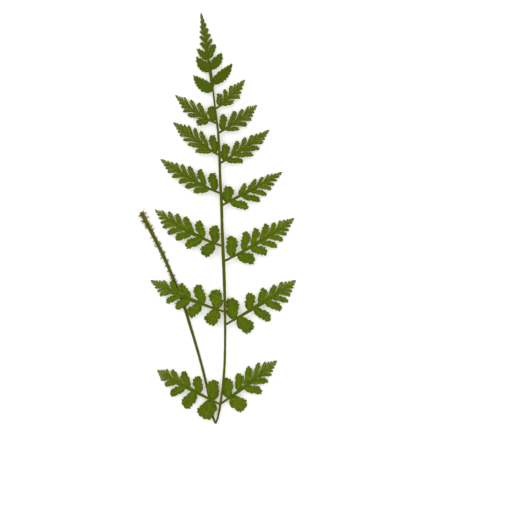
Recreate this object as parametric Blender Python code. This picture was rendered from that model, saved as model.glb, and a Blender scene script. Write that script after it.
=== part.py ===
"""Bracken frond, lying face up on a surface with its bare stalk folded back beneath the blade.

Frame: +Y runs along the frond from the fold to the tip, +Z is up, the underside rests on Z = 0.
The design tables are in millimetres and are turned into metres by MM as the pieces are made.
"""
import math

import bmesh
import bpy
import numpy as np
from mathutils import Vector
from mathutils.geometry import delaunay_2d_cdt

# Driving dimensions
MM = 0.001
BLADE_THICKNESS = 0.50 * MM
MIDRIB_THICKNESS = 1.30 * MM
PIECE_GAP = 0.35
STALK_SIDES = 8
ARCH_HEIGHT = 3.5
PINNA_RISE = 1.2
SIDE_DROOP = 0.009
LOWEST_BLADE = 0.45
STIPE_CLEARANCE = 3.0
LEAFLET_SCALE = 0.90
END_LOBE_WIDTH = 3.6
MIDRIB_HALF_WIDTH = 0.45
MERGE_DISTANCE = 0.00008

# The stalk below the blade: x, y, height, radius, from the cut end down to the fold and up again
STIPE = [
    (-54.2, 150.2, 1.40, 1.40), (-48.8, 139.6, 1.35, 1.35), (-42.6, 127.5, 1.25, 1.25),
    (-36.4, 114.5, 1.15, 1.15), (-29.8, 99.0, 1.10, 1.10), (-24.2, 84.5, 1.05, 1.05),
    (-18.9, 67.5, 1.00, 1.00), (-13.7, 50.0, 0.95, 0.95), (-9.7, 35.0, 0.90, 0.90),
    (-6.7, 21.5, 0.85, 0.82), (-3.9, 7.5, 0.80, 0.76), (-2.4, 2.2, 0.75, 0.70),
    (-1.55, 0.5, 0.75, 0.64), (-0.75, 2.2, 0.90, 0.68), (0.75, 8.0, 1.60, 0.76),
    (1.75, 13.5, 2.50, 0.82),
]
# The stalk inside the blade: x, y, radius, from the lowest pinnae to the foot of the tip
RACHIS = [
    (1.8, 14.0, 0.82), (3.4, 25.0, 0.90), (4.7, 40.0, 0.92), (5.2, 57.0, 0.88), (5.2, 75.0, 0.94),
    (4.9, 92.0, 1.08), (4.4, 108.0, 1.20), (3.7, 124.0, 1.18), (3.1, 140.0, 1.12), (2.7, 155.0, 1.12),
    (1.8, 172.0, 1.02), (1.2, 190.0, 0.97), (0.2, 207.0, 0.86), (-1.3, 219.0, 0.78), (-2.6, 230.0, 0.70),
    (-3.6, 238.5, 0.62),
]
TIP_STALK = [(-3.6, 238.9), (-4.9, 247.0), (-6.5, 257.5)]

# Each pinna: its midrib (foot, middle, apex) and its leaflets on the tip side and the stalk side,
# as (place along the midrib, tip x, tip y, width)
PINNAE = {
    "left_pinna_1": dict(
        midrib=((1.6, 14.0), (-20.5, 25.4), (-43.3, 38.2)),
        upper=[(.125, -2.0, 31.2, 10.4), (.34, -13.8, 34.0, 8.0), (.50, -24.2, 37.6, 6.4),
               (.63, -32.4, 38.6, 5.4), (.74, -36.9, 38.9, 4.6)],
        lower=[(.14, -8.8, 3.4, 14.2), (.405, -22.8, 11.0, 9.9), (.56, -33.4, 20.0, 6.8),
               (.70, -37.5, 27.0, 5.2), (.79, -40.4, 31.0, 3.8)]),
    "right_pinna_1": dict(
        midrib=((1.6, 14.0), (20.2, 27.4), (42.4, 45.2)),
        upper=[(.18, 5.0, 32.6, 9.6), (.365, 14.6, 36.0, 7.0), (.485, 22.2, 41.0, 6.2),
               (.58, 29.3, 43.6, 4.8), (.68, 34.0, 44.0, 4.6)],
        lower=[(.225, 18.3, 9.6, 11.8), (.46, 31.4, 22.2, 6.8), (.58, 35.8, 30.2, 5.6),
               (.73, 38.2, 34.8, 4.0)]),
    "left_pinna_2": dict(
        midrib=((4.9, 79.6), (-20.0, 88.6), (-48.2, 102.0)),
        upper=[(.115, -0.8, 95.4, 10.8), (.315, -14.0, 98.9, 8.6), (.50, -26.6, 99.6, 7.0),
               (.61, -33.2, 101.6, 5.6), (.73, -38.8, 101.7, 4.6)],
        lower=[(.125, -5.0, 70.0, 11.4), (.35, -19.9, 75.9, 9.0), (.50, -29.6, 81.6, 7.2),
               (.62, -36.5, 85.8, 5.4), (.73, -41.2, 91.0, 4.4)]),
    "right_pinna_2": dict(
        midrib=((5.2, 70.3), (30.1, 85.0), (55.8, 102.2)),
        upper=[(.13, 8.6, 89.2, 10.6), (.35, 22.4, 93.0, 8.2), (.50, 32.4, 96.6, 6.6),
               (.60, 40.5, 98.7, 5.1), (.70, 45.8, 100.7, 4.6)],
        lower=[(.195, 22.9, 64.8, 11.4), (.41, 37.0, 73.2, 7.8), (.565, 45.2, 80.8, 6.6),
               (.66, 50.1, 86.5, 4.8), (.76, 51.8, 90.8, 3.8)]),
    "left_pinna_3": dict(
        midrib=((3.4, 126.0), (-20.0, 136.2), (-45.0, 152.2)),
        upper=[(.12, -1.6, 140.7, 8.6), (.30, -13.4, 144.2, 7.2), (.45, -23.2, 147.0, 6.0),
               (.56, -29.2, 149.0, 5.4), (.67, -34.8, 150.4, 4.6), (.77, -39.8, 151.2, 3.8)],
        lower=[(.145, -9.6, 118.8, 10.0), (.31, -22.6, 125.2, 7.8), (.47, -29.9, 130.8, 6.6),
               (.59, -35.6, 134.7, 5.4), (.69, -39.1, 139.0, 4.4)]),
    "right_pinna_3": dict(
        midrib=((4.3, 115.2), (29.2, 129.0), (54.8, 146.2)),
        upper=[(.12, 8.9, 133.2, 9.4), (.285, 19.9, 136.6, 7.0), (.41, 27.2, 139.0, 6.2),
               (.53, 34.6, 142.0, 5.9), (.64, 40.2, 143.0, 4.6), (.73, 44.7, 144.4, 3.8)],
        lower=[(.195, 26.0, 114.6, 9.2), (.375, 35.0, 120.6, 7.2), (.51, 42.2, 125.4, 5.4),
               (.63, 46.4, 130.0, 4.8), (.72, 49.0, 134.0, 3.8)]),
    "left_pinna_4": dict(
        midrib=((2.2, 163.3), (-18.4, 173.1), (-41.0, 188.0)),
        upper=[(.105, -3.5, 178.0, 7.6), (.28, -12.7, 180.6, 5.8), (.41, -20.4, 182.7, 5.2),
               (.53, -25.6, 184.0, 4.8), (.64, -29.9, 185.0, 4.2)],
        lower=[(.195, -17.2, 164.3, 5.4), (.34, -23.2, 167.6, 5.2), (.47, -27.9, 171.2, 4.9),
               (.59, -32.6, 175.2, 4.4), (.70, -35.9, 178.8, 3.8)]),
    "right_pinna_4": dict(
        midrib=((2.6, 154.6), (23.2, 165.7), (46.2, 178.7)),
        upper=[(.10, 7.2, 168.6, 9.0), (.31, 19.5, 170.6, 4.7), (.455, 27.0, 173.6, 4.2),
               (.57, 31.9, 175.1, 3.9), (.67, 36.0, 176.8, 3.6)],
        lower=[(.15, 21.6, 152.8, 6.8), (.34, 30.1, 158.0, 5.4), (.49, 34.7, 162.2, 4.7),
               (.62, 38.2, 166.2, 4.2)]),
    "left_pinna_5": dict(
        midrib=((1.3, 190.2), (-14.2, 200.0), (-32.0, 214.0)),
        upper=[(.095, -3.7, 204.7, 6.6), (.27, -12.0, 207.7, 4.0), (.41, -16.5, 209.8, 4.0),
               (.54, -20.8, 211.5, 3.8)],
        lower=[(.17, -15.9, 193.0, 4.4), (.32, -21.4, 198.1, 4.2), (.46, -24.6, 201.2, 4.1),
               (.60, -27.1, 204.6, 3.6)]),
    "right_pinna_5": dict(
        midrib=((1.4, 184.4), (18.2, 195.2), (36.9, 208.7)),
        upper=[(.10, 5.2, 198.6, 7.2), (.26, 14.1, 200.7, 4.6), (.40, 19.7, 203.2, 4.2),
               (.54, 24.6, 204.8, 4.0)],
        lower=[(.13, 18.1, 185.8, 5.1), (.30, 25.4, 190.5, 4.4), (.45, 29.8, 195.2, 4.4),
               (.60, 32.4, 199.6, 3.8)]),
    "left_pinna_6": dict(
        midrib=((-0.4, 212.8), (-14.2, 220.2), (-30.4, 233.2)),
        upper=[(.105, -4.6, 225.3, 6.8), (.27, -13.8, 227.6, 4.6), (.41, -19.3, 229.6, 4.3),
               (.55, -24.0, 231.4, 3.8)],
        lower=[(.22, -14.9, 212.4, 6.2), (.38, -21.3, 218.5, 4.4), (.52, -24.6, 221.6, 4.0)]),
    "right_pinna_6": dict(
        midrib=((0.5, 206.0), (13.2, 214.4), (28.2, 226.2)),
        upper=[(.12, 3.6, 219.4, 6.2), (.29, 12.2, 221.9, 4.7), (.43, 17.9, 223.1, 4.3),
               (.60, 21.9, 225.2, 3.8)],
        lower=[(.18, 15.4, 208.8, 3.8), (.38, 20.9, 211.9, 5.0), (.53, 24.0, 215.6, 4.5)]),
    "left_pinna_7": dict(
        midrib=((-3.3, 237.0), (-10.2, 240.4), (-17.6, 247.4)), wing=4.3, widest=.52, upper=[], lower=[]),
    "right_pinna_7": dict(
        midrib=((-1.2, 223.4), (8.9, 231.9), (19.4, 244.2)), wing=2.8, widest=.60,
        upper=[(.13, 0.9, 234.1, 5.6), (.25, 5.2, 237.2, 4.4), (.42, 9.7, 239.9, 4.0)],
        lower=[(.20, 11.4, 227.9, 4.4), (.40, 16.1, 231.6, 4.6)]),
}
# The undivided upper part, where the pinnae run together
FROND_TIP = {
    "left_lobe_8": dict(
        midrib=((-5.2, 250.8), (-10.4, 254.4), (-15.4, 260.5)), wing=3.8, widest=.50, upper=[], lower=[]),
    "right_lobe_8": dict(
        midrib=((-3.9, 241.4), (3.8, 246.8), (10.4, 255.6)), wing=4.0, widest=.56, upper=[], lower=[]),
    "left_lobe_9": dict(
        midrib=((-6.7, 258.4), (-10.5, 262.0), (-15.2, 266.4)), wing=2.7, widest=.50, upper=[], lower=[]),
    "right_lobe_9": dict(
        midrib=((-5.6, 251.8), (-0.2, 256.8), (2.7, 263.5)), wing=3.6, widest=.54, upper=[], lower=[]),
    "end": dict(
        midrib=((-6.4, 256.6), (-8.9, 272.5), (-12.0, 291.8)), wing=2.7, widest=.42,
        upper=[(.07, -2.0, 268.9, 5.6), (.30, -3.9, 272.7, 3.8), (.43, -5.3, 276.5, 3.6)],
        lower=[(.28, -12.6, 270.2, 3.4), (.42, -12.8, 274.6, 3.2), (.54, -12.5, 278.4, 3.0)]),
}

COLOURS = {
    "leaf": (0.105, 0.165, 0.018, 1.0),
    "rachis": (0.150, 0.145, 0.030, 1.0),
    "stipe": (0.110, 0.095, 0.028, 1.0),
}


def clear_scene():
    for old in list(bpy.data.objects):
        bpy.data.objects.remove(old, do_unlink=True)


def material(name, colour, roughness):
    mat = bpy.data.materials.new(name)
    mat.use_nodes = True
    shader = mat.node_tree.nodes["Principled BSDF"]
    shader.inputs["Base Color"].default_value = colour
    shader.inputs["Roughness"].default_value = roughness
    return mat


def add_object(name, bm, mat):
    bmesh.ops.recalc_face_normals(bm, faces=bm.faces)
    mesh = bpy.data.meshes.new(name)
    bm.to_mesh(mesh)
    bm.free()
    mesh.materials.append(mat)
    obj = bpy.data.objects.new(name, mesh)
    bpy.context.collection.objects.link(obj)
    return obj


# The short leg of the stipe, the rachis and the tip's stalk as one line in plan: y -> x, radius
STRAND = [(x, y, r) for x, y, z, r in STIPE[13:]] + RACHIS + [(x, y, 0.5) for x, y in TIP_STALK]


def strand(y):
    ys = [p[1] for p in STRAND]
    return float(np.interp(y, ys, [p[0] for p in STRAND])), float(np.interp(y, ys, [p[2] for p in STRAND]))


def rachis_height(y):
    """The blade's stalk arches gently between the fold and the tip."""
    u = min(max((y - 14.0) / 278.0, 0.0), 1.0)
    return 2.5 * (1.0 - u) + 0.9 * u + ARCH_HEIGHT * math.sin(math.pi * u)


def midrib_line(route, count=9):
    """A parabola through the foot, the middle and the apex."""
    foot, middle, apex = (np.array(p, float) for p in route)
    t = np.linspace(0.0, 1.0, count)[:, None]
    control = 2.0 * middle - (foot + apex) / 2.0
    return (1 - t) ** 2 * foot + 2 * t * (1 - t) * control + t ** 2 * apex


def along(line, t):
    i = t * (len(line) - 1)
    steps = np.arange(len(line))
    return np.array([np.interp(i, steps, line[:, 0]), np.interp(i, steps, line[:, 1])])


def leaflet(foot, tip, width, foot_power, tip_power, count):
    """A rounded, wedge-footed outline between its foot and its tip."""
    run = np.array(tip) - foot
    length = np.linalg.norm(run)
    ahead = run / length
    across = np.array((-ahead[1], ahead[0]))
    peak = foot_power / (foot_power + tip_power)
    top = peak ** foot_power * (1.0 - peak) ** tip_power
    u = (1.0 - np.cos(np.linspace(0.0, math.pi, count))) / 2.0
    half = 0.5 * width * u ** foot_power * (1.0 - u) ** tip_power / top
    right = [foot + ahead * length * a - across * b for a, b in zip(u, half)]
    left = [foot + ahead * length * a + across * b for a, b in zip(u[-2:0:-1], half[-2:0:-1])]
    return right + left


def wing(spec, line):
    """The strip of blade beside the midrib: narrow at the foot, broad where the leaflets join."""
    t = np.linspace(0.0, 1.0, len(line))
    full = spec.get("wing", 2.3)
    widest = spec.get("widest", 0.70)
    down = np.clip((t - widest) / (1.0 - widest), 0.0, 1.0)
    if spec["upper"]:
        up = np.clip((t - 0.1) / (widest - 0.1), 0.0, 1.0)
        half = (MIDRIB_HALF_WIDTH + (full - MIDRIB_HALF_WIDTH) * up ** 1.6) * (1.0 - down) ** 0.85
    else:
        up = np.clip(t / widest, 0.0, 1.0)
        half = MIDRIB_HALF_WIDTH + (full - MIDRIB_HALF_WIDTH) * np.sin(up * math.pi / 2.0) ** 0.8
        half = half * (1.0 - down ** 1.9) ** 0.9
    slope = np.gradient(line, axis=0)
    slope /= np.linalg.norm(slope, axis=1)[:, None]
    side = np.stack([-slope[:, 1], slope[:, 0]], 1) * half[:, None]
    right = list(line - side)
    left = list((line + side)[::-1])
    return right + left[1:]


def leaflet_rows(spec):
    """The listed leaflets, then smaller and smaller lobes that fade into the apex."""
    apex = np.array(spec["midrib"][2], float)
    rows = []
    for side in ("upper", "lower"):
        listed = [(t, x, y, w * LEAFLET_SCALE, True) for t, x, y, w in spec[side]]
        rows += listed
        if listed:
            t0, x0, y0 = listed[-1][:3]
            for f in (0.30, 0.60, 0.82):
                x = x0 * (1 - f) + apex[0] * f
                y = y0 * (1 - f) + apex[1] * f
                rows.append((t0 + (0.97 - t0) * f, x, y, END_LOBE_WIDTH * (1 - 0.55 * f), False))
    return rows


def outlines(spec):
    line = midrib_line(spec["midrib"])
    shapes = [wing(spec, line)]
    domes = []
    for t, x, y, width, listed in leaflet_rows(spec):
        foot_power = float(np.interp(t, (0.15, 0.35, 0.6, 0.8), (0.52, 0.52, 0.42, 0.32)))
        tip_power = float(np.interp(t, (0.15, 0.40), (0.39, 0.43)))
        foot = along(line, t)
        count = 6 if listed and width > 5.0 else 5 if listed else 4
        shapes.append(leaflet(foot, (x, y), width, foot_power, tip_power, count))
        if listed and width > 4.5:
            domes.append(foot * 0.42 + np.array((x, y)) * 0.58)
    return shapes, domes, line


def triangulate(shapes, points, lines):
    """The union of closed outlines as triangles, with extra points and lines kept inside it."""
    verts = []
    edges = []
    faces = []
    for shape in shapes:
        start = len(verts)
        verts += [Vector((float(x), float(y))) for x, y in shape]
        faces.append(list(range(start, len(verts))))
    for line in lines:
        start = len(verts)
        verts += [Vector((float(x), float(y))) for x, y in line]
        edges += [(i, i + 1) for i in range(start, len(verts) - 1)]
    for x, y in points:
        verts.append(Vector((float(x), float(y))))
    out = delaunay_2d_cdt(verts, edges, faces, 0, 0.05)
    flat = bmesh.new()
    made = [flat.verts.new((v.x, v.y, 0.0)) for v in out[0]]
    for corners, owners in zip(out[2], out[5]):
        if owners:
            flat.faces.new([made[i] for i in corners])
    loose = [v for v in flat.verts if not v.link_faces]
    bmesh.ops.delete(flat, geom=loose, context="VERTS")
    return flat


def fill_pinholes(flat, largest):
    """Close the small gaps that the leaflets shut in between them."""
    rims = [e for e in flat.edges if len(e.link_faces) == 1]
    seen = set()
    for first in rims:
        if first in seen:
            continue
        loop = [first]
        seen.add(first)
        front = list(first.verts)
        while front:
            vert = front.pop()
            for edge in vert.link_edges:
                if len(edge.link_faces) == 1 and edge not in seen:
                    seen.add(edge)
                    loop.append(edge)
                    front += list(edge.verts)
        xs = [v.co.x for e in loop for v in e.verts]
        ys = [v.co.y for e in loop for v in e.verts]
        if max(xs) - min(xs) < largest and max(ys) - min(ys) < largest:
            bmesh.ops.triangle_fill(flat, use_beauty=True, edges=loop)


def part_fans(flat):
    """Where two outlines only meet at a point, give each its own corner and draw them apart."""
    flat.verts.ensure_lookup_table()
    for vert in list(flat.verts):
        rims = [e for e in vert.link_edges if len(e.link_faces) == 1]
        if len(rims) <= 2:
            continue
        left = set(vert.link_faces)
        fans = []
        while left:
            fan = [left.pop()]
            for face in fan:
                for edge in face.edges:
                    if vert in edge.verts:
                        for other in edge.link_faces:
                            if other in left:
                                left.discard(other)
                                fan.append(other)
            fans.append(fan)
        for fan in fans[1:]:
            centre = sum((f.calc_center_median() for f in fan), Vector()) / len(fan)
            twin = flat.verts.new(vert.co.lerp(centre, 0.2))
            corners = [[twin if v is vert else v for v in f.verts] for f in fan]
            bmesh.ops.delete(flat, geom=fan, context="FACES_ONLY")
            for loop in corners:
                flat.faces.new(loop)
    stray = [e for e in flat.edges if not e.link_faces]
    bmesh.ops.delete(flat, geom=stray, context="EDGES")
    stray = [v for v in flat.verts if not v.link_faces]
    bmesh.ops.delete(flat, geom=stray, context="VERTS")


def nearest(line, x, y):
    """Place along a line, 0 to 1, and distance from it."""
    best = (0.0, 1e9)
    for i in range(len(line) - 1):
        a = line[i]
        run = line[i + 1] - a
        k = float(np.clip(np.dot((x - a[0], y - a[1]), run) / np.dot(run, run), 0.0, 1.0))
        gap = math.hypot(x - a[0] - k * run[0], y - a[1] - k * run[1])
        if gap < best[1]:
            best = ((i + k) / (len(line) - 1), gap)
    return best


STIPE_LINE = np.array([(x, y) for x, y, z, r in STIPE[:13]])


def blade_height(line, x, y):
    """Height of the blade's mid-surface: down from the rachis, over the stipe, to the surface."""
    if line is None:
        away = abs(x - strand(y)[0])
        z = rachis_height(y) - SIDE_DROOP * away ** 2
    else:
        t, away = nearest(line, x, y)
        foot = rachis_height(float(line[0][1])) - 0.2
        z = foot * (1 - t) + 0.8 * t + PINNA_RISE * math.sin(math.pi * t) - SIDE_DROOP * away ** 2
    z += 0.35 * math.sin(0.23 * x + 0.17 * y) * math.sin(0.11 * x - 0.29 * y)
    gap = nearest(STIPE_LINE, x, y)[1]
    z = max(z, STIPE_CLEARANCE - 0.22 * max(gap - 2.5, 0.0))
    return max(z, LOWEST_BLADE)


def thicken(name, flat, height, ribs, mat):
    """Give the flat outline its height and thickness; the ribs are thicker than the blade."""
    bmesh.ops.remove_doubles(flat, verts=flat.verts, dist=MERGE_DISTANCE / MM)
    part_fans(flat)
    flat.verts.index_update()
    body = bmesh.new()
    top = []
    bottom = []
    for vert in flat.verts:
        x, y = vert.co.x, vert.co.y
        z = height(x, y) * MM
        on_rib = any(nearest(rib, x, y)[1] < 0.08 for rib in ribs)
        rim = any(len(e.link_faces) == 1 for e in vert.link_edges)
        half = 0.5 * (MIDRIB_THICKNESS if on_rib and not rim else BLADE_THICKNESS)
        low = max(z - half, 0.10 * MM)
        top.append(body.verts.new((x * MM, y * MM, z + half)))
        bottom.append(body.verts.new((x * MM, y * MM, low)))
    for face in flat.faces:
        loop = [v.index for v in face.verts]
        if face.normal.z < 0:
            loop.reverse()
        body.faces.new([top[i] for i in loop])
        body.faces.new([bottom[i] for i in reversed(loop)])
    for edge in flat.edges:
        if len(edge.link_faces) == 1:
            a, b = (v.index for v in edge.verts)
            body.faces.new((top[a], top[b], bottom[b]))
            body.faces.new((top[a], bottom[b], bottom[a]))
    flat.free()
    return add_object(name, body, mat)


def clear_of_strand(shape, side):
    """Hold an outline the piece gap away from the stalk."""
    held = []
    for x, y in shape:
        centre, radius = strand(y)
        reach = radius + PIECE_GAP
        x = min(x, centre - reach) if side < 0 else max(x, centre + reach)
        held.append((x, y))
    return held


def pinna(name, spec, mat):
    side = -1 if name.startswith("left") else 1
    shapes, domes, line = outlines(spec)
    shapes = [clear_of_strand(shape, side) for shape in shapes]
    held = clear_of_strand(line, side)
    rib = [p for p in held[1:-1]]
    flat = triangulate(shapes, domes, [rib])
    flat.normal_update()
    fill_pinholes(flat, 6.0)
    flat.normal_update()
    return thicken(name, flat, lambda x, y: blade_height(line, x, y), [np.array(rib)], mat)


def frond_tip(mat):
    shapes = []
    domes = []
    ribs = []
    for spec in FROND_TIP.values():
        part, dots, line = outlines(spec)
        shapes += part
        domes += dots
        ribs.append(line[1:-1])
    stalk = np.array(TIP_STALK, float)
    shapes.insert(0, list(stalk + (0.8, 0.1)) + list((stalk - (0.8, 0.1))[::-1]))
    flat = triangulate(shapes, domes, ribs)
    fill_pinholes(flat, 6.0)
    flat.normal_update()
    return thicken("frond_tip", flat, lambda x, y: blade_height(None, x, y), ribs, mat)


def stalk(name, stations, mat):
    """A round, tapering stalk swept through its stations: x, y, z, radius."""
    body = bmesh.new()
    points = [Vector(p[:3]) for p in stations]
    rings = []
    for i, point in enumerate(points):
        back = points[max(i - 1, 0)]
        ahead = points[min(i + 1, len(points) - 1)]
        out = (ahead - point).normalized() if i < len(points) - 1 else (point - back).normalized()
        came = (point - back).normalized() if i else out
        heading = (out + came).normalized()
        across = heading.cross(Vector((0, 0, 1))).normalized()
        up = across.cross(heading).normalized()
        ring = []
        for k in range(STALK_SIDES):
            turn = 2 * math.pi * (k + 0.5) / STALK_SIDES
            spoke = across * math.cos(turn) + up * math.sin(turn)
            ring.append(body.verts.new((point + spoke * stations[i][3]) * MM))
        rings.append(ring)
    for near, far in zip(rings[:-1], rings[1:]):
        for k in range(STALK_SIDES):
            j = (k + 1) % STALK_SIDES
            body.faces.new((near[k], near[j], far[j], far[k]))
    body.faces.new(rings[0][::-1])
    body.faces.new(rings[-1])
    bmesh.ops.triangulate(body, faces=body.faces)
    return add_object(name, body, mat)


def seat(objects):
    """Centre the frond over the origin and set its lowest point on Z = 0."""
    corners = np.array([v.co for obj in objects for v in obj.data.vertices])
    low = corners.min(axis=0)
    high = corners.max(axis=0)
    shift = Vector((-(low[0] + high[0]) / 2.0, -(low[1] + high[1]) / 2.0, -low[2]))
    for obj in objects:
        for vert in obj.data.vertices:
            vert.co += shift


clear_scene()
stipe_mat = material("stipe", COLOURS["stipe"], 0.55)
rachis_mat = material("rachis", COLOURS["rachis"], 0.50)
pieces = [stalk("stipe", STIPE, stipe_mat)]
pieces.append(stalk("rachis", [(x, y, rachis_height(y), r) for x, y, r in RACHIS], rachis_mat))
for pinna_name, pinna_spec in PINNAE.items():
    pieces.append(pinna(pinna_name, pinna_spec, material(pinna_name, COLOURS["leaf"], 0.60)))
pieces.append(frond_tip(material("frond_tip", COLOURS["leaf"], 0.60)))
seat(pieces)
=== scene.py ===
"""Looks of the bracken frond: one frond lying face up, its bare stalk folded back beneath the blade."""
import math
import random

import bmesh
import bpy
import numpy as np
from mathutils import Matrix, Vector, kdtree
from mathutils.geometry import delaunay_2d_cdt


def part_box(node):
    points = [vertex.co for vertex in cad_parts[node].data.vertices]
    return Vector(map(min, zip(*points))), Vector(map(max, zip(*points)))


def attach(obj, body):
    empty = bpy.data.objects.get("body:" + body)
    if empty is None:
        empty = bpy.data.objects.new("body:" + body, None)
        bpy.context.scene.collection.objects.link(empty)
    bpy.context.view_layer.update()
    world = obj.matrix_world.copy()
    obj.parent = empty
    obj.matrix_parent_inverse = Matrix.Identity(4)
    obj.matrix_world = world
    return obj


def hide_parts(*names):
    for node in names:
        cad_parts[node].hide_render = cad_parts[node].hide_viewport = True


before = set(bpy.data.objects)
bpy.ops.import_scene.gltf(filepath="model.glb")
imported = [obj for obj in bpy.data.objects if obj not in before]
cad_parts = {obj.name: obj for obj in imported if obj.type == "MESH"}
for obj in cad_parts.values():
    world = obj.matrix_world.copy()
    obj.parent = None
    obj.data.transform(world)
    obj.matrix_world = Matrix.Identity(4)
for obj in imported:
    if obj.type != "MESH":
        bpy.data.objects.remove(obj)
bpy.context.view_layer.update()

# Sizes in the tables and in the code below are in millimetres; MM turns them into metres.
MM = 0.001

# The stalk below the blade: x, y, height, radius, from the cut end down to the fold and up again
STIPE = [
    (-54.2, 150.2, 1.40, 1.40), (-48.8, 139.6, 1.35, 1.35), (-42.6, 127.5, 1.25, 1.25),
    (-36.4, 114.5, 1.15, 1.15), (-29.8, 99.0, 1.10, 1.10), (-24.2, 84.5, 1.05, 1.05),
    (-18.9, 67.5, 1.00, 1.00), (-13.7, 50.0, 0.95, 0.95), (-9.7, 35.0, 0.90, 0.90),
    (-6.7, 21.5, 0.85, 0.82), (-3.9, 7.5, 0.80, 0.76), (-2.4, 2.2, 0.75, 0.70),
    (-1.55, 0.5, 0.75, 0.64), (-0.75, 2.2, 0.90, 0.68), (0.75, 8.0, 1.60, 0.76),
    (1.75, 13.5, 2.50, 0.82),
]
# The stalk inside the blade: x, y, radius, from the lowest pinnae to the foot of the tip
RACHIS = [
    (1.8, 14.0, 0.82), (3.4, 25.0, 0.90), (4.7, 40.0, 0.92), (5.2, 57.0, 0.88), (5.2, 75.0, 0.94),
    (4.9, 92.0, 1.08), (4.4, 108.0, 1.20), (3.7, 124.0, 1.18), (3.1, 140.0, 1.12), (2.7, 155.0, 1.12),
    (1.8, 172.0, 1.02), (1.2, 190.0, 0.97), (0.2, 207.0, 0.86), (-1.3, 219.0, 0.78), (-2.6, 230.0, 0.70),
    (-3.6, 238.5, 0.62),
]
TIP_STALK = [(-3.6, 238.9), (-4.9, 247.0), (-6.5, 257.5)]

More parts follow.
